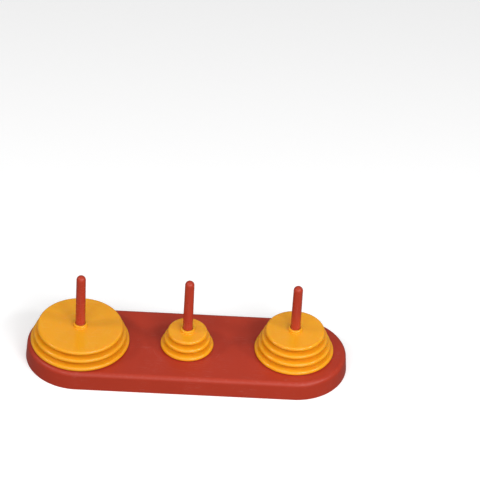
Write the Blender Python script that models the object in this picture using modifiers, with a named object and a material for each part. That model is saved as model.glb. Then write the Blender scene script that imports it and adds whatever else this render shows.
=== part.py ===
"""Tower of Hanoi puzzle: a ribbed hollow base, three push-in pegs and ten discs of falling size.

Metres, +Z up. The origin is the centre of the base's foot, and the pegs stand in a row along X.
"""

import math

import bmesh
import bpy

# Clearances
TOUCH_GAP = 0.0003  # between faces that rest on each other
BORE_CLEARANCE = 0.0003  # round a peg's foot, inside a disc
SOCKET_CLEARANCE = 0.0003  # round a spigot, inside its socket

# Discs, numbered 1 for the smallest up to DISC_COUNT for the largest
DISC_COUNT = 10
LARGEST_DISC_DIAMETER = 0.0858
DISC_DIAMETER_STEP = 0.0057
PLATE_THICKNESS = 0.0038
HUB_HEIGHT = 0.0025
HUB_WALL = 0.0015
HUB_EDGE_RADIUS = 0.0008
DISC_STACKS = {"left": (10, 9, 8), "middle": (3, 2, 1), "right": (7, 6, 5, 4)}

# Pegs
PEG_FOOT_DIAMETER = 0.0089
PEG_TAPER = 0.0009  # how much thinner a peg is at its top
PEG_FREE_LENGTH = 0.0056  # what stands above a full stack of discs
SPIGOT_DIAMETER = 0.0070
SPIGOT_END_GAP = 0.0013  # how far its end stays inside the boss
SPIGOT_CHAMFER = 0.0008

# Base
FINGER_GAP = 0.0072  # between two of the largest discs on neighbouring pegs
DISC_MARGIN = 0.0030  # from the largest disc's rim to the base's front edge
END_REACH = 0.0009  # how far the centre of a rounded end is outside the outer peg
BASE_HEIGHT = 0.0171
BASE_WALL = 0.0022
BASE_EDGE_RADIUS = 0.0042
BASE_DRAFT = math.radians(4.5)
RIB_THICKNESS = 0.0016
LONG_RIB_FOOT = 0.0030  # height of the rib's lower edge above the foot of the base
CROSS_RIB_FOOT = 0.0036
BOSS_FOOT = 0.0024
BOSS_WALL = 0.0026
SOCKET_CHAMFER = 0.0005

# Sizes that follow from those above
DISC_PITCH = PLATE_THICKNESS + HUB_HEIGHT + TOUCH_GAP
BORE_RADIUS = PEG_FOOT_DIAMETER / 2 + BORE_CLEARANCE
HUB_RADIUS = BORE_RADIUS + HUB_WALL
PEG_HEIGHT = DISC_COUNT * DISC_PITCH + PEG_FREE_LENGTH
PEG_TOP_DIAMETER = PEG_FOOT_DIAMETER - PEG_TAPER
SPIGOT_LENGTH = BASE_HEIGHT - BOSS_FOOT - SPIGOT_END_GAP
SOCKET_RADIUS = SPIGOT_DIAMETER / 2 + SOCKET_CLEARANCE
BOSS_RADIUS = SOCKET_RADIUS + BOSS_WALL
PEG_SPACING = LARGEST_DISC_DIAMETER + FINGER_GAP
BASE_WIDTH = LARGEST_DISC_DIAMETER + 2 * DISC_MARGIN
END_CENTRE = PEG_SPACING + END_REACH
PEG_PLACES = {"left": -PEG_SPACING, "middle": 0.0, "right": PEG_SPACING}

# Fineness of the round forms
ROUND_STEPS = 36
END_STEPS = 24
EDGE_STEPS = 3
RIM_STEPS = 4
TIP_STEPS = 4
OVERCUT = 0.001  # how far a cutter passes the face it opens

RED = (0.47, 0.055, 0.027, 1.0)
YELLOW = (0.87, 0.34, 0.020, 1.0)


def clear_scene():
    """Remove whatever the scene holds at the start."""
    for item in list(bpy.data.objects):
        bpy.data.objects.remove(item, do_unlink=True)


def new_collection(name):
    """A collection linked to the scene."""
    collection = bpy.data.collections.new(name)
    bpy.context.scene.collection.children.link(collection)
    return collection


def gloss_plastic(name, colour, roughness):
    """A moulded plastic with one colour all through."""
    material = bpy.data.materials.new(name)
    material.use_nodes = True
    shader = material.node_tree.nodes["Principled BSDF"]
    shader.inputs["Base Color"].default_value = colour
    shader.inputs["Roughness"].default_value = roughness
    shader.inputs["Metallic"].default_value = 0.0
    return material


def new_object(name, bm, collection, material=None):
    """Turn a bmesh into a named object with smooth round faces."""
    mesh = bpy.data.meshes.new(name)
    bm.to_mesh(mesh)
    bm.free()
    mesh.shade_smooth()
    mesh.set_sharp_from_angle(angle=math.radians(35))
    if material:
        mesh.materials.append(material)
    item = bpy.data.objects.new(name, mesh)
    collection.objects.link(item)
    return item


def mark_as_cutter(item):
    """A shape that only cuts or joins another isn't part of the puzzle."""
    item.hide_render = True
    item.display_type = "WIRE"


def arc(centre_across, centre_up, radius, start, end, steps):
    """Points on an arc in a flat drawing, angles in degrees from across towards up."""
    points = []
    for step in range(steps + 1):
        angle = math.radians(start + (end - start) * step / steps)
        across = centre_across + radius * math.cos(angle)
        up = centre_up + radius * math.sin(angle)
        points.append((across, up))
    return points


def turned(name, profile, collection, material=None, closed=False):
    """A profile in the XZ plane, given down its outer side, turned about the object's Z axis."""
    bm = bmesh.new()
    corners = [bm.verts.new((x, 0.0, z)) for x, z in profile]
    for first, second in zip(corners, corners[1:]):
        bm.edges.new((first, second))
    if closed:
        bm.edges.new((corners[-1], corners[0]))
    item = new_object(name, bm, collection, material)
    screw = item.modifiers.new("turn", "SCREW")
    screw.axis = "Z"
    screw.steps = ROUND_STEPS
    screw.render_steps = ROUND_STEPS
    screw.use_merge_vertices = True
    screw.merge_threshold = 0.00001
    screw.use_smooth_shade = True
    return item


def stadium(radius):
    """Outline points of two half circles, joined by straight sides."""
    points = []
    for end_x, start in ((END_CENTRE, -90), (-END_CENTRE, 90)):
        points += arc(end_x, 0.0, radius, start, start + 180, END_STEPS)
    return points


def drafted_block(name, foot_radius, bottom, top, edge_radius, collection, material=None):
    """A stadium block whose sides lean in with height and whose top edge is rounded.

    foot_radius is the radius of its ends at the level of the base's foot.
    """
    lean = math.tan(BASE_DRAFT)
    bm = bmesh.new()
    low_outline = stadium(foot_radius - bottom * lean)
    low_face = bm.faces.new([bm.verts.new((x, y, bottom)) for x, y in low_outline])
    low_ring = list(low_face.verts)
    bmesh.ops.extrude_face_region(bm, geom=[low_face], use_keep_orig=True)
    bm.verts.ensure_lookup_table()
    top_ring = [vertex for vertex in bm.verts if vertex not in low_ring]
    for vertex, (x, y) in zip(top_ring, stadium(foot_radius - top * lean)):
        vertex.co = (x, y, top)
    bmesh.ops.recalc_face_normals(bm, faces=bm.faces[:])
    bevel_weight = bm.edges.layers.float.new("bevel_weight_edge")
    for edge in bm.edges:
        if all(vertex in top_ring for vertex in edge.verts):
            edge[bevel_weight] = 1.0
    block = new_object(name, bm, collection, material)
    bevel = block.modifiers.new("round_top_edge", "BEVEL")
    bevel.limit_method = "WEIGHT"
    bevel.width = edge_radius
    bevel.segments = EDGE_STEPS
    return block


def bar(name, size_x, size_y, foot, collection):
    """An upright bar about the middle of the base, from its foot up into the top plate."""
    bm = bmesh.new()
    bmesh.ops.create_cube(bm, size=1.0)
    bmesh.ops.scale(bm, vec=(size_x, size_y, BASE_HEIGHT - foot), verts=bm.verts[:])
    item = new_object(name, bm, collection)
    item.location.z = (foot + BASE_HEIGHT) / 2
    return item


def repeat_along_x(item, count, spacing):
    """Repeat an item along X, in a row whose middle is the middle of the base."""
    row = item.modifiers.new("row", "ARRAY")
    row.count = count
    row.use_relative_offset = False
    row.use_constant_offset = True
    row.constant_offset_displace = (spacing, 0.0, 0.0)
    item.location.x = -spacing * (count - 1) / 2


def combine(item, tool, operation):
    """Join a tool to an item, or cut the item with it."""
    mark_as_cutter(tool)
    boolean = item.modifiers.new(f"{operation.lower()}_{tool.name}", "BOOLEAN")
    boolean.operation = operation
    boolean.solver = "EXACT"
    boolean.object = tool


def socket_profile():
    """A through hole for a spigot, with a lead-in chamfer at the base's top face."""
    above = BASE_HEIGHT + OVERCUT
    below = BOSS_FOOT - OVERCUT
    return [
        (0.0, above),
        (SOCKET_RADIUS + SOCKET_CHAMFER + OVERCUT, above),
        (SOCKET_RADIUS, BASE_HEIGHT - SOCKET_CHAMFER),
        (SOCKET_RADIUS, below),
        (0.0, below),
    ]


def make_base(collection, cutters, material):
    """The base: a drafted shell, open underneath, with ribs and three peg sockets."""
    outer_radius = BASE_WIDTH / 2
    plate_underside = BASE_HEIGHT - BASE_WALL
    base = drafted_block("base", outer_radius, 0.0, BASE_HEIGHT, BASE_EDGE_RADIUS, collection, material)

    cavity_radius = outer_radius - BASE_WALL / math.cos(BASE_DRAFT)
    cavity_edge = BASE_EDGE_RADIUS - BASE_WALL
    cavity = drafted_block("cavity", cavity_radius, -OVERCUT, plate_underside, cavity_edge, cutters)
    combine(base, cavity, "DIFFERENCE")

    # Ribs and bosses end in the middle of the wall and of the top plate that they join.
    plate_middle = BASE_HEIGHT - BASE_WALL / 2
    limit_radius = outer_radius - BASE_WALL / 2
    limit_edge = BASE_EDGE_RADIUS - BASE_WALL / 2
    limit = drafted_block("rib_limit", limit_radius, 0.0, plate_middle, limit_edge, cutters)
    base_length = BASE_WIDTH + 2 * END_CENTRE
    long_rib = bar("long_rib", base_length, RIB_THICKNESS, LONG_RIB_FOOT, cutters)
    cross_ribs = bar("cross_ribs", RIB_THICKNESS, BASE_WIDTH, CROSS_RIB_FOOT, cutters)
    repeat_along_x(cross_ribs, 2 * len(PEG_PLACES) - 1, PEG_SPACING / 2)
    for ribs in (long_rib, cross_ribs):
        combine(ribs, limit, "INTERSECT")
        combine(base, ribs, "UNION")

    boss_profile = [
        (0.0, plate_middle),
        (BOSS_RADIUS, plate_middle),
        (BOSS_RADIUS, BOSS_FOOT),
        (0.0, BOSS_FOOT),
    ]
    bosses = turned("bosses", boss_profile, cutters)
    sockets = turned("sockets", socket_profile(), cutters)
    for tool, operation in ((bosses, "UNION"), (sockets, "DIFFERENCE")):
        repeat_along_x(tool, len(PEG_PLACES), PEG_SPACING)
        combine(base, tool, operation)
    return base


def peg_profile():
    """Round tip, slightly tapered shank, and a thinner spigot under a square shoulder.

    Heights are counted from the shoulder, which stands just clear of the base's top face.
    """
    foot = PEG_FOOT_DIAMETER / 2
    top = PEG_TOP_DIAMETER / 2
    spigot = SPIGOT_DIAMETER / 2
    tip_centre = PEG_HEIGHT - TOUCH_GAP - top
    points = arc(0.0, tip_centre, top, 90, 0, TIP_STEPS)
    points += [
        (foot, 0.0),
        (spigot, 0.0),
        (spigot, SPIGOT_CHAMFER - SPIGOT_LENGTH),
        (spigot - SPIGOT_CHAMFER, -SPIGOT_LENGTH),
        (0.0, -SPIGOT_LENGTH),
    ]
    return points


def make_pegs(base, collection, material):
    """Three pegs of one shape, whose sliding axes are those of their sockets."""
    pegs = {}
    for side, centre_x in PEG_PLACES.items():
        peg = turned(f"peg_{side}", peg_profile(), collection, material)
        peg.parent = base
        peg.location = (centre_x, 0.0, BASE_HEIGHT + TOUCH_GAP)
        pegs[side] = peg
    return pegs


def disc_diameter(number):
    """Outer diameter of a disc by its number."""
    return LARGEST_DISC_DIAMETER - (DISC_COUNT - number) * DISC_DIAMETER_STEP


def disc_profile(number):
    """A flat plate with a fully rounded rim and a low hub that carries the disc above."""
    rim = PLATE_THICKNESS / 2
    rim_centre = disc_diameter(number) / 2 - rim
    hub_top = PLATE_THICKNESS + HUB_HEIGHT
    points = [(BORE_RADIUS, hub_top)]
    points += arc(HUB_RADIUS - HUB_EDGE_RADIUS, hub_top - HUB_EDGE_RADIUS, HUB_EDGE_RADIUS, 90, 0, 2)
    points.append((HUB_RADIUS, PLATE_THICKNESS))
    points += arc(rim_centre, rim, rim, 90, -90, RIM_STEPS)
    points.append((BORE_RADIUS, 0.0))
    return points


def make_discs(base, collection, material):
    """Each disc rests on the hub below it, and the lowest one on the base's top face."""
    discs = {}
    for side, numbers in DISC_STACKS.items():
        parent = base
        place = (PEG_PLACES[side], 0.0, BASE_HEIGHT + TOUCH_GAP)
        for number in numbers:
            disc = turned(f"disc_{number:02d}", disc_profile(number), collection, material, closed=True)
            disc.parent = parent
            disc.location = place
            discs[number] = disc
            parent = disc
            place = (0.0, 0.0, DISC_PITCH)
    return discs


def main():
    """Build the whole puzzle."""
    clear_scene()
    puzzle = new_collection("tower_of_hanoi_puzzle")
    cutters = new_collection("cutters")
    red_plastic = gloss_plastic("red_plastic", RED, 0.38)
    peg_plastic = gloss_plastic("peg_plastic", RED, 0.32)
    yellow_plastic = gloss_plastic("yellow_plastic", YELLOW, 0.33)
    base = make_base(puzzle, cutters, red_plastic)
    make_pegs(base, puzzle, peg_plastic)
    make_discs(base, puzzle, yellow_plastic)


main()
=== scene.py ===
# %% [markdown]
# # A tower of Hanoi in moulded plastic
# The puzzle is a hollow red base, three red pegs pushed into it and ten yellow discs that lift off the
# pegs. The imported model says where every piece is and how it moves. This notebook gives each piece its
# real surface: the drafts, roundings, ribs, seams and mould marks of injection moulding, and the gloss of
# the two plastics.

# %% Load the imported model
import math

import bpy
from mathutils import Matrix, Vector


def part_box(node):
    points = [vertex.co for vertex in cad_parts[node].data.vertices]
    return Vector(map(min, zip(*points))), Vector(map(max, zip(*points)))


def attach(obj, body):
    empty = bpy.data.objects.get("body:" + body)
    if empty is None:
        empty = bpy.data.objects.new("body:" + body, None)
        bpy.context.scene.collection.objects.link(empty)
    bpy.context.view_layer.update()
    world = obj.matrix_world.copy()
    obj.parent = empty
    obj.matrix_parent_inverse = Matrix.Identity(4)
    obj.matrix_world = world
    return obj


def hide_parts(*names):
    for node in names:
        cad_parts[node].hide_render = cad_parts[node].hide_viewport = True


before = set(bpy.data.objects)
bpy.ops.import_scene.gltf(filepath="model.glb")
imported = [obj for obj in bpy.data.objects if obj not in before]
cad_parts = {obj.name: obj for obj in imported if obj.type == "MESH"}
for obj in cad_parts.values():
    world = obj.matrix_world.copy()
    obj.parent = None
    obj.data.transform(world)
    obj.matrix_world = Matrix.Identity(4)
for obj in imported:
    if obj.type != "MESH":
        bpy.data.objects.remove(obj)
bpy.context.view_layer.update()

mm = 0.001

# %% [markdown]
# ## Sizes
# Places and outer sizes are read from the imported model, so that nothing has to be fitted by eye. The
# walls and roundings inside those sizes can't be read from a box, so they are named here once, in
# millimetres.

# %% Read the places and outer sizes
base_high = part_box("base")[1]
peg_names = ("peg_left", "peg_middle", "peg_right")
peg_boxes = {name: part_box(name) for name in peg_names}
disc_names = sorted(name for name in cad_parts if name.startswith("disc_"))
disc_boxes = {name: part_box(name) for name in disc_names}

base_height = base_high.z
end_radius = base_high.y
half_run = base_high.x - end_radius
peg_spacing = peg_boxes["peg_right"][1].x - peg_boxes["peg_middle"][1].x
peg_foot_radius = peg_boxes["peg_middle"][1].x
peg_tip = peg_boxes["peg_middle"][1].z
print(f"base {base_high.x * 2 / mm:.1f} x {end_radius * 2 / mm:.1f} x {base_height / mm:.1f} mm")
print(f"pegs {peg_spacing / mm:.1f} mm apart, tips {peg_tip / mm:.1f} mm up")

# %% Name the sizes inside the pieces
base_wall = 2.2 * mm
base_draft = math.tan(math.radians(4.5))
base_edge_radius = 4.2 * mm
socket_radius = 3.8 * mm
boss_radius = 6.4 * mm
boss_foot = 2.4 * mm
spigot_radius = 3.5 * mm
peg_top_radius = 4.0 * mm
bore_radius = 4.5 * mm
hub_radius = 6.25 * mm
plate_thickness = 3.8 * mm
disc_pitch = 6.6 * mm
rim_rounding = 1.86 * mm
rib_root = 1.6 * mm
rib_foot = 1.2 * mm
touching_gap = 0.03 * mm
seam_height = 0.03 * mm
crush_rib_height = 0.22 * mm
print(f"discs {plate_thickness / mm:.1f} mm thick, stacked {disc_pitch / mm:.1f} mm apart")

# %% [markdown]
# ## Geometry Nodes with short calls
# Every piece of this puzzle is a profile carried round an axis, so each is made by a Geometry Nodes tree.
# Nodes can be placed by hand or by a script. A script with one helper to place a node, and one for a sum,
# stays short.

# %% Helpers for node trees
def put(tree, kind, values=(), **settings):
    """Place a node. Its inputs are given in order or by name, and a socket among them is linked."""
    node = tree.nodes.new(kind)
    for name, setting in settings.items():
        setattr(node, name, setting)
    pairs = values.items() if isinstance(values, dict) else enumerate(values)
    for key, value in pairs:
        if isinstance(value, bpy.types.NodeSocket):
            tree.links.new(value, node.inputs[key])
        elif value is not None:
            node.inputs[key].default_value = value
    return node


def maths(tree, operation, *values):
    """The result of a Math node."""
    return put(tree, "ShaderNodeMath", values, operation=operation).outputs[0]


def whole(tree, operation, *values):
    """The result of an Integer Math node."""
    return put(tree, "FunctionNodeIntegerMath", values, operation=operation).outputs[0]


def new_tree(name, inputs):
    """A Geometry Nodes tree with named inputs, and the sockets to read them from."""
    tree = bpy.data.node_groups.new(name, "GeometryNodeTree")
    for label, kind in inputs:
        tree.interface.new_socket(label, in_out="INPUT", socket_type="NodeSocket" + kind)
    tree.interface.new_socket("Geometry", in_out="OUTPUT", socket_type="NodeSocketGeometry")
    return tree, put(tree, "NodeGroupInput").outputs


def give(tree, geometry):
    """Make a geometry the tree's output."""
    put(tree, "NodeGroupOutput", {"Geometry": geometry})


def give_moulded(tree, geometry, material):
    """Make a geometry the tree's output, as real faces with one material."""
    real = put(tree, "GeometryNodeRealizeInstances", {"Geometry": geometry}).outputs[0]
    coloured = put(tree, "GeometryNodeSetMaterial", {"Geometry": real, "Material": material})
    give(tree, coloured.outputs[0])


# %% [markdown]
# ## One tree that turns a profile
# A lathe form is a grid whose rows follow a profile and whose columns go round an axis. If the two half
# turns are pulled apart by a straight run, the same grid makes a slab with half-round ends. So one tree
# serves the discs, the pegs and the base. The profile runs down its outer side, which makes the faces
# point outwards.

# %% Make the turning tree
def turning_tree():
    """Carry a profile round two half turns whose centres are twice Half run apart."""
    tree, given = new_tree("turn_profile", [
        ("Profile", "Geometry"), ("Closed", "Int"), ("Half run", "Float"), ("Half turn steps", "Int")])
    size = put(tree, "GeometryNodeAttributeDomainSize", {"Geometry": given["Profile"]})
    points = size.outputs["Point Count"]
    per_half = whole(tree, "ADD", given["Half turn steps"], 1)
    columns = whole(tree, "ADD", whole(tree, "MULTIPLY", per_half, 2), 1)
    rows = whole(tree, "ADD", points, given["Closed"])
    grid = put(tree, "GeometryNodeMeshGrid", {"Vertices X": rows, "Vertices Y": columns})

    index = put(tree, "GeometryNodeInputIndex").outputs[0]
    row = whole(tree, "DIVIDE_FLOOR", index, columns)
    column = whole(tree, "MODULO", index, columns)
    half = whole(tree, "DIVIDE_FLOOR", column, per_half)
    step = whole(tree, "MODULO", column, per_half)
    share = maths(tree, "DIVIDE", step, given["Half turn steps"])
    half_turns = maths(tree, "ADD", share, half)
    angle = maths(tree, "MULTIPLY", maths(tree, "SUBTRACT", half_turns, 0.5), math.pi)
    side = maths(tree, "COSINE", maths(tree, "MULTIPLY", half, math.pi))
    centre = maths(tree, "MULTIPLY", side, given["Half run"])

    position = put(tree, "GeometryNodeInputPosition").outputs[0]
    sample = put(tree, "GeometryNodeSampleIndex", data_type="FLOAT_VECTOR")
    tree.links.new(given["Profile"], sample.inputs["Geometry"])
    tree.links.new(position, sample.inputs["Value"])
    tree.links.new(whole(tree, "MODULO", row, points), sample.inputs["Index"])
    corner = put(tree, "ShaderNodeSeparateXYZ", (sample.outputs[0],)).outputs
    x = maths(tree, "MULTIPLY_ADD", corner["X"], maths(tree, "COSINE", angle), centre)
    y = maths(tree, "MULTIPLY", corner["X"], maths(tree, "SINE", angle))
    place = put(tree, "ShaderNodeCombineXYZ", (x, y, corner["Y"])).outputs[0]
    moved = put(tree, "GeometryNodeSetPosition", {"Geometry": grid.outputs["Mesh"], "Position": place})
    merged = put(tree, "GeometryNodeMergeByDistance", {"Geometry": moved.outputs[0], "Distance": 0.001 * mm})
    give(tree, merged.outputs[0])
    return tree


turn_profile = turning_tree()
print("turning tree:", len(turn_profile.nodes), "nodes")

# %% [markdown]
# A profile is drawn as straight lines between corners, and each corner is then rounded by its own radius,
# the way a draughtsman dimensions a moulding. The corners may be numbers or sockets, so a size can be a
# tree's input.

# %% Draw a profile inside a tree
def drawn_profile(tree, corners, closed=False, steps=8):
    """Corners as (across, up, rounding). Returns the rounded profile as a line of points."""
    places = put(tree, "GeometryNodeIndexSwitch", data_type="VECTOR")
    roundings = put(tree, "GeometryNodeIndexSwitch", data_type="FLOAT")
    index = put(tree, "GeometryNodeInputIndex").outputs[0]
    for switch in (places, roundings):
        for _ in range(len(corners) - 2):
            switch.index_switch_items.new()
        tree.links.new(index, switch.inputs[0])
    for number, (across, up, rounding) in enumerate(corners, start=1):
        corner = put(tree, "ShaderNodeCombineXYZ", (across, up)).outputs[0]
        tree.links.new(corner, places.inputs[number])
        roundings.inputs[number].default_value = rounding
    line = put(tree, "GeometryNodeMeshLine", {"Count": len(corners)}).outputs[0]
    drawn = put(tree, "GeometryNodeSetPosition", {"Geometry": line, "Position": places.outputs[0]}).outputs[0]
    curve = put(tree, "GeometryNodeMeshToCurve", {"Mesh": drawn}).outputs[0]
    curve = put(tree, "GeometryNodeSetSplineCyclic", {"Geometry": curve, "Cyclic": closed}).outputs[0]
    fillet = put(tree, "GeometryNodeFilletCurve", mode="POLY")
    for name, value in (("Curve", curve), ("Radius", roundings.outputs[0])):
        tree.links.new(value, fillet.inputs[name])
    fillet.inputs["Count"].default_value = steps
    return put(tree, "GeometryNodeCurveToMesh", {"Curve": fillet.outputs[0]}).outputs[0]


def turned(tree, corners, closed=False, half_run=0.0, half_turn_steps=96, corner_steps=8):
    """A profile drawn and turned, as nodes inside a tree."""
    profile = drawn_profile(tree, corners, closed, corner_steps)
    group = put(tree, "GeometryNodeGroup", node_tree=turn_profile)
    values = {
        "Profile": profile, "Closed": int(closed), "Half run": half_run, "Half turn steps": half_turn_steps}
    for name, value in values.items():
        if isinstance(value, bpy.types.NodeSocket):
            tree.links.new(value, group.inputs[name])
        else:
            group.inputs[name].default_value = value
    return group.outputs[0]


# %% [markdown]
# A finished piece is a plain mesh at the origin. `run_tree` makes an object that shows a tree's result,
# and `settle` keeps that result and drops the modifier. The weighted normals let a flat face shade flat
# right up to its rounded edge, as a polished mould does.

# %% Run a tree and settle its result
def run_tree(name, tree, inputs):
    """An object whose mesh is what the tree gives for these inputs."""
    item = bpy.data.objects.new(name, bpy.data.meshes.new(name))
    bpy.context.scene.collection.objects.link(item)
    modifier = item.modifiers.new(tree.name, "NODES")
    modifier.node_group = tree
    for socket in tree.interface.items_tree:
        if socket.in_out == "INPUT":
            modifier[socket.identifier] = inputs[socket.name]
    return item


def evaluated_mesh(item):
    """A plain copy of an object's mesh with its modifiers applied."""
    depsgraph = bpy.context.evaluated_depsgraph_get()
    return bpy.data.meshes.new_from_object(item.evaluated_get(depsgraph))


def settle(item, sharp_angle=32):
    """Keep the evaluated mesh, shaded smooth except at sharp edges, with no modifier left."""
    mesh = evaluated_mesh(item)
    mesh.shade_smooth()
    mesh.set_sharp_from_angle(angle=math.radians(sharp_angle))
    item.modifiers.clear()
    item.data = mesh
    normals = item.modifiers.new("weighted_normals", "WEIGHTED_NORMAL")
    normals.keep_sharp = True
    mesh = evaluated_mesh(item)
    item.modifiers.clear()
    item.data = mesh
    mesh.name = item.name
    finishes = [material for material in mesh.materials if material]
    mesh.materials.clear()
    for material in finishes:
        mesh.materials.append(material)
    triangles = sum(len(polygon.vertices) - 2 for polygon in mesh.polygons)
    print(f"{item.name}: {len(mesh.vertices)} vertices, {triangles} triangles")
    return item


# %% [markdown]
# ## Moulded plastic
# Coloured plastic looks flat in a render if it has one colour and one gloss. The real surface waves a
# little, which is called orange peel, has a fine grain from the mould, and is dyed not quite evenly.
# Hairlines and scuffs show where the pieces have rubbed. All of this is made from noise in Object
# coordinates, in metres, so each pattern has its real size, and it moves with its piece.

# %% Helpers for shader trees
def noise(tree, vector, size, detail=2.0):
    """Noise from 0 to 1 with blotches of about this size."""
    values = {"Vector": vector, "Scale": 1.0 / size, "Detail": detail}
    return put(tree, "ShaderNodeTexNoise", values).outputs["Fac"]


def between(tree, value, low, high, to_low=0.0, to_high=1.0):
    """A smooth step of a value from one range to another."""
    settings = {"interpolation_type": "SMOOTHSTEP"}
    return put(tree, "ShaderNodeMapRange", (value, low, high, to_low, to_high), **settings).outputs[0]


def tint(tree, factor, first, second, mode="MIX"):
    """Two colours mixed by a factor."""
    settings = {"data_type": "RGBA", "blend_type": mode}
    return put(tree, "ShaderNodeMix", {0: factor, 6: first, 7: second}, **settings).outputs[2]


def total(tree, values):
    """The sum of several values."""
    result = values[0]
    for value in values[1:]:
        result = maths(tree, "ADD", result, value)
    return result


def hairlines(tree, vector, length, spacing, turn, density):
    """Fine scratches in one direction, as the level lines of a stretched noise, in patches."""
    scale = (1.0 / length, 1.0 / spacing, 1.0 / spacing)
    drawn = put(tree, "ShaderNodeMapping", {"Vector": vector, "Rotation": (0.0, 0.0, turn), "Scale": scale})
    level = noise(tree, drawn.outputs[0], 1.0, 1.0)
    line = maths(tree, "ABSOLUTE", maths(tree, "SUBTRACT", level, 0.5))
    line = between(tree, line, 0.0, 0.012, 1.0, 0.0)
    patch = between(tree, noise(tree, vector, length * 0.7), 0.62 - density, 0.72 - density)
    return maths(tree, "MULTIPLY", line, patch)


def about_nearest_peg(tree, coordinates):
    """Distance from the axis of the nearest peg, and the angle about it in turns."""
    axes = put(tree, "ShaderNodeSeparateXYZ", (coordinates,)).outputs
    number = maths(tree, "ROUND", maths(tree, "DIVIDE", axes["X"], peg_spacing))
    number = maths(tree, "MAXIMUM", maths(tree, "MINIMUM", number, 1.0), -1.0)
    across = maths(tree, "SUBTRACT", axes["X"], maths(tree, "MULTIPLY", number, peg_spacing))
    across_squared = maths(tree, "MULTIPLY", across, across)
    squares = maths(tree, "MULTIPLY_ADD", axes["Y"], axes["Y"], across_squared)
    distance = maths(tree, "SQRT", squares)
    angle = maths(tree, "DIVIDE", maths(tree, "ARCTAN2", axes["Y"], across), 2 * math.pi)
    return distance, angle, axes


# %% [markdown]
# Every plastic here starts from the same moulded surface. Each one then adds its own marks: it hands over
# lists of extra heights, of extra roughness and of pale scuffs, and they are summed before they reach the
# shader. The numbers that are the same all over, such as the index of refraction, are set on the shader
# itself.

# %% The common moulded surface
class Moulded:
    """A Principled shader with even dye, orange peel and grain, ready for extra marks."""

    def __init__(self, name, colour, roughness, glow, glow_depth, peel):
        self.material = bpy.data.materials.new(name)
        self.material.use_nodes = True
        self.tree = self.material.node_tree
        self.shader = self.tree.nodes["Principled BSDF"]
        self.where = put(self.tree, "ShaderNodeTexCoord").outputs["Object"]
        self.colour = colour
        self.heights = [self.height(noise(self.tree, self.where, 5 * mm, 1.0), peel)]
        self.heights.append(self.height(noise(self.tree, self.where, 0.7 * mm, 3.0), 0.0025 * mm))
        self.roughnesses = [between(self.tree, noise(self.tree, self.where, 16 * mm, 3.0), 0.3, 0.7,
                                    roughness - 0.03, roughness + 0.03)]
        self.scuffs = []
        self.shades = [between(self.tree, noise(self.tree, self.where, 60 * mm, 2.0), 0.3, 0.7, 0.965, 1.03)]
        self.shader.inputs["IOR"].default_value = 1.49
        self.shader.inputs["Specular IOR Level"].default_value = 0.30
        self.shader.inputs["Subsurface Weight"].default_value = glow
        self.shader.inputs["Subsurface Radius"].default_value = (1.0, 0.45, 0.18)
        self.shader.inputs["Subsurface Scale"].default_value = glow_depth

    def height(self, value, depth):
        """A value from 0 to 1 as a height in metres."""
        return maths(self.tree, "MULTIPLY", value, depth)

    def finish(self):
        """Sum the marks, connect them to the shader and return the material."""
        tree = self.tree
        shade = self.shades[0]
        for other in self.shades[1:]:
            shade = maths(tree, "MULTIPLY", shade, other)
        grey = put(tree, "ShaderNodeCombineXYZ", (shade,) * 3).outputs[0]
        dyed = tint(tree, 1.0, (*self.colour, 1.0), grey, mode="MULTIPLY")
        scuff = put(tree, "ShaderNodeClamp", (total(tree, self.scuffs),)).outputs[0]
        pale = [0.5 + 0.5 * channel for channel in self.colour]
        tree.links.new(tint(tree, scuff, dyed, (*pale, 1.0)), self.shader.inputs["Base Color"])
        rough = maths(tree, "MULTIPLY_ADD", scuff, 0.35, total(tree, self.roughnesses))
        tree.links.new(rough, self.shader.inputs["Roughness"])
        bump = put(tree, "ShaderNodeBump", {"Height": total(tree, self.heights), "Distance": 1.0})
        tree.links.new(bump.outputs[0], self.shader.inputs["Normal"])
        print(self.material.name, "has", len(tree.nodes), "nodes")
        return self.material


# %% [markdown]
# The red of the base sinks a little over each rib, because the thick plastic there shrinks as it cools.
# That gives a shallow hollow line on the top face. Discs that are dropped and turned scuff the top in
# arcs about each peg, and the rounded edge is rubbed by hands and the carton.

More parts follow.
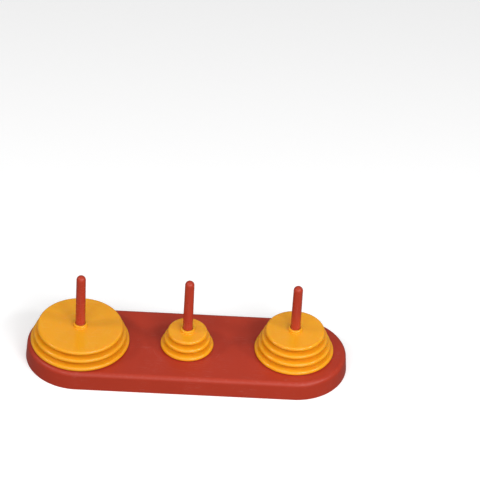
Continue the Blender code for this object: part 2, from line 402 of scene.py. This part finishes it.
# %% Red plastic of the base
def base_red():
    """Satin red with sink lines over the ribs, arcs of wear about the pegs and a rubbed edge."""
    red = Moulded("base_plastic", base_colour, 0.40, 0.10, 1.2 * mm, 0.014 * mm)
    tree = red.tree
    distance, angle, axes = about_nearest_peg(tree, red.where)
    on_top = between(tree, axes["Z"], base_height - 1.0 * mm, base_height - 0.3 * mm)

    rib_number = maths(tree, "DIVIDE", axes["X"], peg_spacing / 2)
    off_rib = maths(tree, "SUBTRACT", rib_number, maths(tree, "ROUND", rib_number))
    off_cross_rib = maths(tree, "MULTIPLY", maths(tree, "ABSOLUTE", off_rib), peg_spacing / 2)
    off_long_rib = maths(tree, "ABSOLUTE", axes["Y"])
    off_ribs = maths(tree, "MINIMUM", off_cross_rib, off_long_rib)
    sink = between(tree, off_ribs, 0.0, 3.0 * mm, -1.0, 0.0)
    red.heights.append(red.height(maths(tree, "MULTIPLY", sink, on_top), 0.030 * mm))
    boss_sink = between(tree, distance, 5.0 * mm, 9.5 * mm, -1.0, 0.0)
    red.heights.append(red.height(maths(tree, "MULTIPLY", boss_sink, on_top), 0.040 * mm))

    polar = put(tree, "ShaderNodeCombineXYZ", (maths(tree, "MULTIPLY", angle, 6.0),
                                               maths(tree, "DIVIDE", distance, 0.55 * mm))).outputs[0]
    arcs = between(tree, noise(tree, polar, 1.0, 1.0), 0.62, 0.74)
    reached = between(tree, distance, 30 * mm, 43 * mm, 1.0, 0.0)
    arcs = maths(tree, "MULTIPLY", arcs, maths(tree, "MULTIPLY", reached, on_top))
    red.scuffs.append(maths(tree, "MULTIPLY", arcs, 0.05))
    first = hairlines(tree, red.where, 30 * mm, 0.9 * mm, 0.35, 0.10)
    second = hairlines(tree, red.where, 22 * mm, 1.1 * mm, -0.9, 0.08)
    red.scuffs.append(maths(tree, "MULTIPLY", maths(tree, "ADD", first, second), 0.10))

    outward = put(tree, "ShaderNodeCombineXYZ", (
        maths(tree, "MAXIMUM", maths(tree, "SUBTRACT", maths(tree, "ABSOLUTE", axes["X"]), half_run), 0.0),
        axes["Y"])).outputs[0]
    from_line = put(tree, "ShaderNodeVectorMath", (outward,), operation="LENGTH").outputs["Value"]
    edge_line = end_radius - base_height * base_draft - 1.2 * mm
    off_edge = maths(tree, "ABSOLUTE", maths(tree, "SUBTRACT", from_line, edge_line))
    near_edge = between(tree, off_edge, 0.3 * mm, 1.6 * mm, 1.0, 0.0)
    high_up = between(tree, axes["Z"], base_height - 3.0 * mm, base_height - 1.2 * mm)
    rubbed = between(tree, noise(tree, red.where, 3.5 * mm, 4.0), 0.48, 0.68)
    rubbed = maths(tree, "MULTIPLY", rubbed, maths(tree, "MULTIPLY", near_edge, high_up))
    red.scuffs.append(maths(tree, "MULTIPLY", rubbed, 0.025))
    return red.finish()


base_colour = (0.425, 0.0365, 0.0150)
base_plastic = base_red()

# %% [markdown]
# The pegs are the same red with more gloss. Discs sliding up and down leave fine lines along the shank,
# and a dull band low down where a disc's bore rests against it.

# %% Red plastic of the pegs
def peg_red():
    """Glossy red with lines of wear along the shank."""
    red = Moulded("peg_plastic", peg_colour, 0.28, 0.10, 1.2 * mm, 0.010 * mm)
    tree = red.tree
    distance, angle, axes = about_nearest_peg(tree, red.where)
    along = put(tree, "ShaderNodeCombineXYZ", (maths(tree, "MULTIPLY", angle, 55.0),
                                               maths(tree, "DIVIDE", axes["Z"], 26 * mm))).outputs[0]
    streaks = between(tree, noise(tree, along, 1.0, 2.0), 0.60, 0.74)
    on_shank = between(tree, axes["Z"], base_height + 60 * mm, base_height + 68 * mm, 1.0, 0.0)
    red.scuffs.append(maths(tree, "MULTIPLY", maths(tree, "MULTIPLY", streaks, on_shank), 0.08))
    rings = put(tree, "ShaderNodeCombineXYZ", (angle, maths(tree, "DIVIDE", axes["Z"], 1.1 * mm))).outputs[0]
    bands = between(tree, noise(tree, rings, 1.0, 2.0), 0.5, 0.8, 0.0, 0.04)
    red.roughnesses.append(maths(tree, "MULTIPLY", bands, on_shank))
    return red.finish()


peg_colour = (0.46, 0.045, 0.021)
peg_plastic = peg_red()

# %% [markdown]
# The discs are filled through one gate beside the hub, and the dye streaks a little as the melt fans out
# towards the rim. The disc above leaves arcs of wear, drawn here all over the disc. Yellow
# plastic lets some light through, so its edges glow and the gaps between two discs stay warm. Subsurface
# scattering gives that.

# %% Yellow plastic of the discs
def disc_yellow():
    """Satin yellow with flow streaks, a weld line, arcs of wear and hairlines."""
    yellow = Moulded("disc_plastic", disc_colour, 0.22, 0.50, 3.0 * mm, 0.007 * mm)
    yellow.shader.inputs["Specular IOR Level"].default_value = 0.40
    tree = yellow.tree
    distance, angle, axes = about_nearest_peg(tree, yellow.where)
    fan = put(tree, "ShaderNodeCombineXYZ", (maths(tree, "MULTIPLY", angle, 34.0),
                                             maths(tree, "DIVIDE", distance, 60 * mm))).outputs[0]
    flow = noise(tree, fan, 1.0, 3.0)
    yellow.shades.append(between(tree, flow, 0.3, 0.7, 0.985, 1.010))
    yellow.heights.append(yellow.height(flow, 0.003 * mm))
    weld_angle = maths(tree, "ABSOLUTE", maths(tree, "SUBTRACT", maths(tree, "ABSOLUTE", angle), 0.25))
    weld_reach = maths(tree, "MULTIPLY", weld_angle, maths(tree, "MULTIPLY", distance, 2 * math.pi))
    weld = between(tree, weld_reach, 0.0, 0.5 * mm, -1.0, 0.0)
    yellow.heights.append(yellow.height(weld, 0.015 * mm))

    arc_vector = put(tree, "ShaderNodeCombineXYZ", (maths(tree, "MULTIPLY", angle, 7.0),
                                                    maths(tree, "DIVIDE", distance, 0.5 * mm))).outputs[0]
    arcs = between(tree, noise(tree, arc_vector, 1.0, 1.0), 0.60, 0.74)
    yellow.scuffs.append(maths(tree, "MULTIPLY", arcs, 0.045))
    first = hairlines(tree, yellow.where, 26 * mm, 0.8 * mm, 0.8, 0.12)
    second = hairlines(tree, yellow.where, 20 * mm, 1.0 * mm, -0.3, 0.10)
    yellow.scuffs.append(maths(tree, "MULTIPLY", maths(tree, "ADD", first, second), 0.09))
    return yellow.finish()


disc_colour = (0.885, 0.380, 0.0105)
disc_plastic = disc_yellow()

# %% [markdown]
# ## Discs
# Ten discs differ only in their diameter, so one tree with named sizes makes them all. The rim is fully
# rounded and carries a hair-thin seam at half its thickness, where the two halves of the mould met. A low
# hub with a rounded edge keeps the disc above clear. The underside shows three ejector rings and the stub
# of the gate.

# %% The disc tree
def disc_tree():
    """A plate with a rounded rim, a bore and a hub, moved to its place on a peg."""
    tree, given = new_tree("graded_disc", [
        ("Place", "Vector"), ("Radius", "Float"), ("Plate thickness", "Float"), ("Hub height", "Float"),
        ("Hub radius", "Float"), ("Bore radius", "Float"), ("Seam height", "Float"),
        ("Material", "Material")])
    plate = given["Plate thickness"]
    hub_top = maths(tree, "ADD", plate, given["Hub height"])
    disc = turned(tree, [
        (given["Bore radius"], hub_top, 0.3 * mm),
        (given["Hub radius"], hub_top, 1.1 * mm),
        (given["Hub radius"], plate, 0.45 * mm),
        (given["Radius"], plate, rim_rounding),
        (given["Radius"], 0.0, rim_rounding),
        (given["Bore radius"], 0.0, 0.3 * mm),
    ], closed=True)

    position = put(tree, "GeometryNodeInputPosition").outputs[0]
    axes = put(tree, "ShaderNodeSeparateXYZ", (position,)).outputs
    flat = put(tree, "ShaderNodeCombineXYZ", (axes["X"], axes["Y"])).outputs[0]
    reach = put(tree, "ShaderNodeVectorMath", (flat,), operation="LENGTH").outputs["Value"]
    depth = maths(tree, "SUBTRACT", given["Radius"], reach)
    on_rim = maths(tree, "LESS_THAN", depth, 0.02 * mm)
    outward = put(tree, "ShaderNodeVectorMath", (flat,), operation="NORMALIZE").outputs[0]
    rise = maths(tree, "MULTIPLY", on_rim, given["Seam height"])
    offset = put(tree, "ShaderNodeVectorMath", {0: outward, "Scale": rise}, operation="SCALE").outputs[0]
    seamed = put(tree, "GeometryNodeSetPosition", {"Geometry": disc, "Offset": offset}).outputs[0]

    ring = put(tree, "GeometryNodeCurvePrimitiveCircle", {"Resolution": 40, "Radius": 1.9 * mm}).outputs[0]
    wire = put(tree, "GeometryNodeCurvePrimitiveCircle", {"Resolution": 6, "Radius": 0.09 * mm}).outputs[0]
    mark = put(tree, "GeometryNodeCurveToMesh", {"Curve": ring, "Profile Curve": wire}).outputs[0]
    ring_place = maths(tree, "MULTIPLY_ADD", given["Radius"], 0.45, 0.45 * hub_radius)
    spots = put(tree, "GeometryNodeMeshCircle", {"Vertices": 3, "Radius": ring_place}).outputs[0]
    marks = put(tree, "GeometryNodeInstanceOnPoints", {"Points": spots, "Instance": mark}).outputs[0]
    gate = put(tree, "GeometryNodeMeshCylinder", {
        "Vertices": 24, "Radius": 0.8 * mm, "Depth": 0.3 * mm}).outputs[0]
    gate_place = (0.0, -(hub_radius + 2.2 * mm), 0.03 * mm)
    gate = put(tree, "GeometryNodeTransform", {"Geometry": gate, "Translation": gate_place}).outputs[0]

    joined = put(tree, "GeometryNodeJoinGeometry")
    for part in (gate, marks, seamed):
        tree.links.new(part, joined.inputs[0])
    placed = put(tree, "GeometryNodeTransform", {
        "Geometry": joined.outputs[0], "Translation": given["Place"]}).outputs[0]
    give_moulded(tree, placed, given["Material"])
    return tree


graded_disc = disc_tree()

# %% Make the ten discs
def make_disc(name):
    """A disc in place of its node, with its hub just short of the plate above."""
    low, high = disc_boxes[name]
    disc = run_tree(name + "_moulding", graded_disc, {
        "Place": ((low.x + high.x) / 2, 0.0, low.z),
        "Radius": (high.x - low.x) / 2,
        "Plate thickness": plate_thickness,
        "Hub height": disc_pitch - plate_thickness - touching_gap,
        "Hub radius": hub_radius,
        "Bore radius": bore_radius,
        "Seam height": seam_height,
        "Material": disc_plastic,
    })
    settle(disc)
    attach(disc, name)
    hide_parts(name)


for disc_name in disc_names:
    make_disc(disc_name)

# %% [markdown]
# ## Pegs
# A peg is one more turned profile: a domed tip, a shank that is a little thicker at its foot so that it
# leaves the mould, a square shoulder and a spigot. Two faint seams run up the shank, and four crush ribs
# on the spigot give the push fit.

# %% The peg tree
def peg_tree():
    """A peg whose shoulder stands at height zero, moved to its socket."""
    tree, given = new_tree("push_in_peg", [
        ("Place", "Vector"), ("Length", "Float"), ("Foot radius", "Float"), ("Top radius", "Float"),
        ("Spigot radius", "Float"), ("Spigot length", "Float"), ("Seam height", "Float"),
        ("Crush rib height", "Float"), ("Material", "Material")])
    length = given["Length"]
    low = maths(tree, "MULTIPLY", given["Spigot length"], -1.0)
    lead_in = maths(tree, "SUBTRACT", given["Spigot radius"], 0.8 * mm)
    lead_in_top = maths(tree, "ADD", low, 0.8 * mm)
    peg = turned(tree, [
        (0.0, length, 0.0),
        (given["Top radius"], length, peg_top_radius * 0.97),
        (given["Foot radius"], 0.0, 0.2 * mm),
        (given["Spigot radius"], 0.0, 0.15 * mm),
        (given["Spigot radius"], lead_in_top, 0.3 * mm),
        (lead_in, low, 0.25 * mm),
        (0.0, low, 0.0),
    ], half_turn_steps=64, corner_steps=12)

    position = put(tree, "GeometryNodeInputPosition").outputs[0]
    axes = put(tree, "ShaderNodeSeparateXYZ", (position,)).outputs
    across = maths(tree, "ABSOLUTE", axes["X"])
    along = maths(tree, "ABSOLUTE", axes["Y"])
    flat = put(tree, "ShaderNodeCombineXYZ", (axes["X"], axes["Y"])).outputs[0]
    outward = put(tree, "ShaderNodeVectorMath", (flat,), operation="NORMALIZE").outputs[0]

    on_shank = maths(tree, "GREATER_THAN", axes["Z"], 0.3 * mm)
    seam_shape = maths(tree, "SUBTRACT", 1.0, maths(tree, "DIVIDE", along, 0.15 * mm))
    seam = maths(tree, "MULTIPLY", maths(tree, "MAXIMUM", seam_shape, 0.0), given["Seam height"])
    seam = maths(tree, "MULTIPLY", seam, on_shank)
    off_diagonal = maths(tree, "ABSOLUTE", maths(tree, "SUBTRACT", across, along))
    rib_shape = maths(tree, "SUBTRACT", 1.0, maths(tree, "DIVIDE", off_diagonal, 0.6 * mm))
    spigot_depth = maths(tree, "SUBTRACT", axes["Z"], low)
    ramp = put(tree, "ShaderNodeMapRange", (spigot_depth, 1.4 * mm, 3.0 * mm, 0.0, 1.0)).outputs[0]
    below = maths(tree, "LESS_THAN", axes["Z"], -0.3 * mm)
    rib = maths(tree, "MULTIPLY", maths(tree, "MAXIMUM", rib_shape, 0.0), given["Crush rib height"])
    rib = maths(tree, "MULTIPLY", maths(tree, "MULTIPLY", rib, ramp), below)
    rise = maths(tree, "ADD", seam, rib)
    offset = put(tree, "ShaderNodeVectorMath", {0: outward, "Scale": rise}, operation="SCALE").outputs[0]
    shaped = put(tree, "GeometryNodeSetPosition", {"Geometry": peg, "Offset": offset}).outputs[0]
    placed = put(tree, "GeometryNodeTransform", {
        "Geometry": shaped, "Translation": given["Place"]}).outputs[0]
    give_moulded(tree, placed, given["Material"])
    return tree


push_in_peg = peg_tree()

# %% Make the three pegs
def make_peg(name):
    """A peg in place of its node, with its shoulder just clear of the base."""
    low, high = peg_boxes[name]
    shoulder = base_height + touching_gap
    peg = run_tree(name + "_moulding", push_in_peg, {
        "Place": ((low.x + high.x) / 2, 0.0, shoulder),
        "Length": high.z - shoulder,
        "Foot radius": peg_foot_radius,
        "Top radius": peg_top_radius,
        "Spigot radius": spigot_radius,
        "Spigot length": shoulder - low.z,
        "Seam height": seam_height,
        "Crush rib height": crush_rib_height,
        "Material": peg_plastic,
    })
    settle(peg)
    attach(peg, name)
    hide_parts(name)


for peg_name in peg_names:
    make_peg(peg_name)

# %% [markdown]
# ## Base
# The base is a shell with leaning sides, so its profile is turned round two half turns with a straight
# run between them. Underneath it has one long rib, five cross ribs and three bosses, all thinner at their
# feet, and the round pads that the ejector pins left. The tree joins them with Mesh Boolean and then cuts
# the three sockets.

# %% The base tree
def tapered_bar(tree, length, root, foot, bottom, top):
    """A bar along X, centred on the origin, that is thinner at its lower edge."""
    height = top - bottom
    cube = put(tree, "GeometryNodeMeshCube", {"Size": (length, root, height)}).outputs["Mesh"]
    axes = put(tree, "ShaderNodeSeparateXYZ", (put(tree, "GeometryNodeInputPosition").outputs[0],)).outputs
    lower = maths(tree, "LESS_THAN", axes["Z"], 0.0)
    factor = maths(tree, "MULTIPLY_ADD", lower, foot / root - 1.0, 1.0)
    y = maths(tree, "MULTIPLY", axes["Y"], factor)
    z = maths(tree, "ADD", axes["Z"], (top + bottom) / 2)
    place = put(tree, "ShaderNodeCombineXYZ", (axes["X"], y, z)).outputs[0]
    return put(tree, "GeometryNodeSetPosition", {"Geometry": cube, "Position": place}).outputs[0]


def repeated(tree, instance, count, spacing, turn=0.0):
    """A geometry repeated along X, in a row centred on the origin."""
    start = (-spacing * (count - 1) / 2, 0.0, 0.0)
    row = put(tree, "GeometryNodeMeshLine", {
        "Count": count, "Start Location": start, "Offset": (spacing, 0.0, 0.0)}).outputs[0]
    values = {"Points": row, "Instance": instance, "Rotation": (0.0, 0.0, turn)}
    instances = put(tree, "GeometryNodeInstanceOnPoints", values).outputs[0]
    return put(tree, "GeometryNodeRealizeInstances", {"Geometry": instances}).outputs[0]


def boolean(tree, operation, first, others):
    """A Mesh Boolean of whole solids with the exact solver."""
    node = put(tree, "GeometryNodeMeshBoolean", operation=operation, solver="EXACT")
    if operation == "DIFFERENCE":
        tree.links.new(first, node.inputs["Mesh 1"])
    else:
        tree.links.new(first, node.inputs["Mesh 2"])
    for other in others:
        tree.links.new(other, node.inputs["Mesh 2"])
    return node.outputs[0]


def base_tree():
    """The whole moulding of the base."""
    tree, given = new_tree("hollow_base", [("Half run", "Float"), ("Material", "Material")])
    run = given["Half run"]
    underside = base_height - base_wall
    slope_wall = base_wall * math.hypot(1.0, base_draft)
    outer_top = end_radius - base_height * base_draft
    inner_top = end_radius - slope_wall - underside * base_draft
    shell = turned(tree, [
        (0.0, base_height, 0.0),
        (outer_top, base_height, base_edge_radius),
        (end_radius, 0.0, 0.3 * mm),
        (end_radius - slope_wall, 0.0, 0.3 * mm),
        (inner_top, underside, base_edge_radius - base_wall),
        (0.0, underside, 0.0),
    ], half_run=run, half_turn_steps=72)

    middle = base_wall / 2
    rib_top = base_height - middle
    limit = turned(tree, [
        (0.0, rib_top, 0.0),
        (outer_top - middle, rib_top, base_edge_radius - middle),
        (end_radius - middle, 0.0, 0.0),
        (0.0, 0.0, 0.0),
    ], half_run=run, half_turn_steps=72)
    long_rib = tapered_bar(tree, 2 * base_high.x, rib_root, rib_foot, 3.0 * mm, base_height)
    cross_rib = tapered_bar(tree, 2 * end_radius, rib_root, rib_foot, 3.6 * mm, base_height)
    cross_ribs = repeated(tree, cross_rib, 5, peg_spacing / 2, math.pi / 2)
    long_rib = boolean(tree, "INTERSECT", long_rib, [limit])
    cross_ribs = boolean(tree, "INTERSECT", cross_ribs, [limit])

    boss = turned(tree, [
        (0.0, rib_top, 0.0),
        (boss_radius + 0.15 * mm, rib_top, 0.0),
        (boss_radius, boss_foot, 0.4 * mm),
        (0.0, boss_foot, 0.0),
    ], half_turn_steps=32, corner_steps=4)
    bosses = repeated(tree, boss, 3, peg_spacing)
    socket = turned(tree, [
        (0.0, base_height + mm, 0.0),
        (socket_radius + 1.5 * mm, base_height + mm, 0.0),
        (socket_radius, base_height - 0.5 * mm, 0.0),
        (socket_radius, boss_foot - mm, 0.0),
        (0.0, boss_foot - mm, 0.0),
    ], half_turn_steps=32)
    sockets = repeated(tree, socket, 3, peg_spacing)

    pad = put(tree, "GeometryNodeMeshCylinder", {"Vertices": 24, "Radius": 2.5 * mm, "Depth": mm}).outputs[0]
    pad_place = (0.0, 0.0, underside + 0.25 * mm)
    pad = put(tree, "GeometryNodeTransform", {"Geometry": pad, "Translation": pad_place}).outputs[0]
    pad_grid = {"Size X": 1.5 * peg_spacing, "Size Y": 0.9 * end_radius, "Vertices X": 4, "Vertices Y": 2}
    pad_points = put(tree, "GeometryNodeMeshGrid", pad_grid).outputs[0]
    pads = put(tree, "GeometryNodeInstanceOnPoints", {"Points": pad_points, "Instance": pad}).outputs[0]
    pads = put(tree, "GeometryNodeRealizeInstances", {"Geometry": pads}).outputs[0]

    whole_base = boolean(tree, "UNION", shell, [long_rib, cross_ribs, bosses, pads])
    whole_base = boolean(tree, "DIFFERENCE", whole_base, [sockets])
    give_moulded(tree, whole_base, given["Material"])
    return tree


hollow_base = base_tree()
base = run_tree("base_moulding", hollow_base, {"Half run": half_run, "Material": base_plastic})
settle(base)
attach(base, "base")
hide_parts("base")

# %% [markdown]
# ## Studio
# The puzzle stands on a wide pale floor. Large soft lights in front give the plain surfaces their even
# tone, and a small light on each side draws the short pale highlights on the rounded rims and the tips of
# the pegs. The floor glows faintly so that it stays white, and it is hidden from the plastic's diffuse
# and glossy rays, because light thrown up from a white floor would wash out the sides of the base. The
# camera looks down with a long lens.

# %% Floor
floor_mesh = bpy.data.meshes.new("floor")
floor_half = 4.0
floor_corners = [(x * floor_half, y * floor_half, 0.0) for x, y in ((-1, -1), (1, -1), (1, 1), (-1, 1))]
floor_mesh.from_pydata(floor_corners, [], [(0, 1, 2, 3)])
floor = bpy.data.objects.new("floor", floor_mesh)
bpy.context.scene.collection.objects.link(floor)
floor_paper = bpy.data.materials.new("floor_paper")
floor_paper.use_nodes = True
paper = floor_paper.node_tree.nodes["Principled BSDF"]
paper.inputs["Base Color"].default_value = (0.9, 0.9, 0.9, 1.0)
paper.inputs["Roughness"].default_value = 0.9
paper.inputs["Emission Color"].default_value = (1.0, 1.0, 1.0, 1.0)
paper.inputs["Emission Strength"].default_value = 0.27
floor_mesh.materials.append(floor_paper)
floor.visible_diffuse = False
floor.visible_glossy = False

# %% Lights
def soft_light(name, azimuth, elevation, distance, size, power, colour=(1.0, 1.0, 1.0)):
    """A square area light aimed at the puzzle. Azimuth 0 is in front, 90 is on the right."""
    data = bpy.data.lights.new(name, "AREA")
    data.shape = "SQUARE"
    data.size = size
    data.energy = power
    data.color = colour
    turn, lift = math.radians(azimuth), math.radians(elevation)
    way = Vector((math.sin(turn) * math.cos(lift), -math.cos(turn) * math.cos(lift), math.sin(lift)))
    light = bpy.data.objects.new(name, data)
    light.location = way * distance
    light.rotation_euler = way.to_track_quat("Z", "Y").to_euler()
    bpy.context.scene.collection.objects.link(light)
    return light


soft_light("key_right", 66, 38, 1.3, 0.18, 3.4)
soft_light("key_left", -80, 42, 1.3, 0.16, 2.9)
soft_light("front_right", 32, 34, 1.3, 0.5, 6.2)
soft_light("front_left", -30, 38, 1.3, 0.5, 2.7)
soft_light("front_wide", 5, 27, 1.8, 1.6, 10.2)
soft_light("overhead", 0, 82, 1.6, 1.4, 3.5)
soft_light("back_rim", 170, 55, 1.6, 1.0, 0.8)
world = bpy.data.worlds.new("studio")
world.use_nodes = True
world.node_tree.nodes["Background"].inputs["Color"].default_value = (1.0, 1.0, 1.0, 1.0)
world.node_tree.nodes["Background"].inputs["Strength"].default_value = 0.22
bpy.context.scene.world = world

# %% Camera
camera_data = bpy.data.cameras.new("camera")
camera_data.sensor_width = 36.0
camera_data.lens = 227.115
camera_data.clip_end = 20.0
camera = bpy.data.objects.new("camera", camera_data)
place = Matrix.Translation((0.002773, -1.998986, 1.733981))
turn = Matrix.Rotation(-0.0188746, 4, "Z") @ Matrix.Rotation(math.pi / 2 - 0.6740192, 4, "X")
camera.matrix_world = place @ turn @ Matrix.Rotation(0.0610274, 4, "Z")
bpy.context.scene.collection.objects.link(camera)
bpy.context.scene.camera = camera
bpy.context.scene.view_settings.view_transform = "Standard"
print(f"camera {place.to_translation().length:.2f} m from the puzzle, lens {camera_data.lens:.0f} mm")
